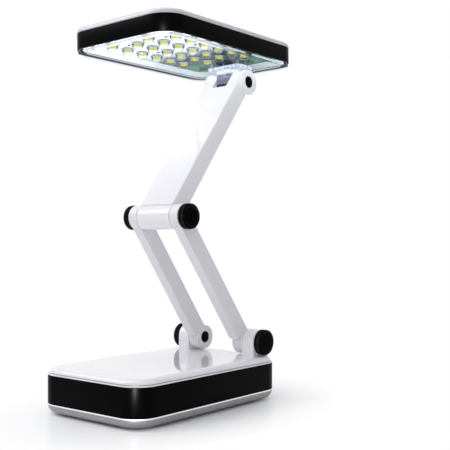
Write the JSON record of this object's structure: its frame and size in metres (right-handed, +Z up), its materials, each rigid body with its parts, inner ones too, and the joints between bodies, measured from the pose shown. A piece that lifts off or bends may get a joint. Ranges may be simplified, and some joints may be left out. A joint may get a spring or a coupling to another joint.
{
  "type": "folding led desk lamp",
  "caption": "Folding desk lamp: flat slab base, twin lower legs, wide upper arm and a flat slab LED head with a clear lens; friction hinges clamped by knurled knobs.",
  "frame": {"origin": "middle of the plane the four feet stand on, under the centre of the base", "axes": "+Z up; X along every hinge pin, +X to the right seen from the free front end; +Y toward the hinge end of the base"},
  "size_m": [0.096, 0.1718, 0.2691],
  "materials": {
    "silver_plastic": "moulded ABS with a silver paint, satin",
    "white_gloss": "polished moulded ABS, white",
    "white_satin": "moulded ABS, light grey-white, fine matt",
    "silver_white": "moulded ABS, pale silver-white, satin",
    "black_satin": "moulded ABS, black, polished",
    "black_gloss": "polished black plug",
    "black_knob": "moulded nylon, black, knurled",
    "grey_plastic": "moulded grey slider",
    "component_black": "moulded epoxy and nylon housings",
    "rubber_black": "soft black rubber",
    "zinc_steel": "zinc-plated steel",
    "spring_steel": "nickel-plated spring strip",
    "nickel_brass": "nickel-plated brass",
    "cell_sleeve": "shrink sleeve over a metal can",
    "green_board": "glass-epoxy board with green solder mask",
    "white_board": "glass-epoxy board with white solder mask",
    "smoke_clear": "smoke-tinted clear plastic",
    "clear_lens": "clear polystyrene, polished",
    "clear_epoxy": "clear cast epoxy",
    "white_reflector": "white reflector cup",
    "led_phosphor": "yellow phosphor, lit"
  },
  "bodies": {
    "base": {"base_tray": "silver_plastic", "battery_door": "silver_plastic", "battery_cells": "cell_sleeve", "battery_contacts": "spring_steel", "control_board": "green_board", "board_parts": "component_black", "base_band": "black_satin", "base_deck": "white_gloss", "case_screws": "zinc_steel", "feet": "rubber_black", "dc_jack": "component_black", "dc_pin": "nickel_brass", "switch_body": "component_black"},
    "switch": {"switch_slider": "grey_plastic"},
    "legs": {"leg_left": "white_satin", "leg_right": "white_satin", "leg_cover_left": "white_satin", "leg_cover_right": "white_satin", "leg_bolts": "zinc_steel", "leg_caps": "black_gloss", "elbow_axle": "zinc_steel"},
    "base_knob_l": {"knob_base_left": "black_knob"},
    "base_knob_r": {"knob_base_right": "black_knob"},
    "elbow_knob_l": {"knob_elbow_left": "black_knob"},
    "elbow_knob_r": {"knob_elbow_right": "black_knob"},
    "arm": {"upper_arm": "white_gloss", "arm_cover": "white_satin", "arm_cover_screws": "zinc_steel", "ear_caps": "black_gloss", "head_pin": "zinc_steel"},
    "head": {"hinge_bracket": "smoke_clear", "bracket_screws": "zinc_steel", "head_cover": "silver_white", "head_band": "black_satin", "head_lens": "clear_lens", "led_board": "white_board", "driver_board": "green_board", "led_domes": "clear_epoxy", "led_cups": "white_reflector", "led_chips": "led_phosphor", "board_screws": "zinc_steel"}
  },
  "joints": [
    {"name": "base_hinge", "type": "hinge", "parent": "base", "child": "legs", "pos_m": [0, 0.0643, 0.0418], "axis": [1, 0, 0], "range_deg": [-60, 53]},
    {"name": "elbow_hinge", "type": "hinge", "parent": "legs", "child": "arm", "pos_m": [0, -0.00473, 0.1344], "axis": [-1, 0, 0], "range_deg": [-75, 100]},
    {"name": "head_hinge", "type": "hinge", "parent": "arm", "child": "head", "pos_m": [0, 0.07446, 0.24064], "axis": [1, 0, 0], "range_deg": [-75, 50]},
    {"name": "base_knob_l_turn", "type": "hinge", "parent": "base", "child": "base_knob_l", "pos_m": [0, 0.0643, 0.0418], "axis": [-1, 0, 0], "range_deg": [-180, 180]},
    {"name": "base_knob_r_turn", "type": "hinge", "parent": "base", "child": "base_knob_r", "pos_m": [0, 0.0643, 0.0418], "axis": [1, 0, 0], "range_deg": [-180, 180]},
    {"name": "elbow_knob_l_turn", "type": "hinge", "parent": "legs", "child": "elbow_knob_l", "pos_m": [0, -0.00473, 0.1344], "axis": [-1, 0, 0], "range_deg": [-180, 180]},
    {"name": "elbow_knob_r_turn", "type": "hinge", "parent": "legs", "child": "elbow_knob_r", "pos_m": [0, -0.00473, 0.1344], "axis": [1, 0, 0], "range_deg": [-180, 180]},
    {"name": "power_switch", "type": "slide", "parent": "base", "child": "switch", "axis": [1, 0, 0], "range_m": [0, 0.004]}
  ]
}
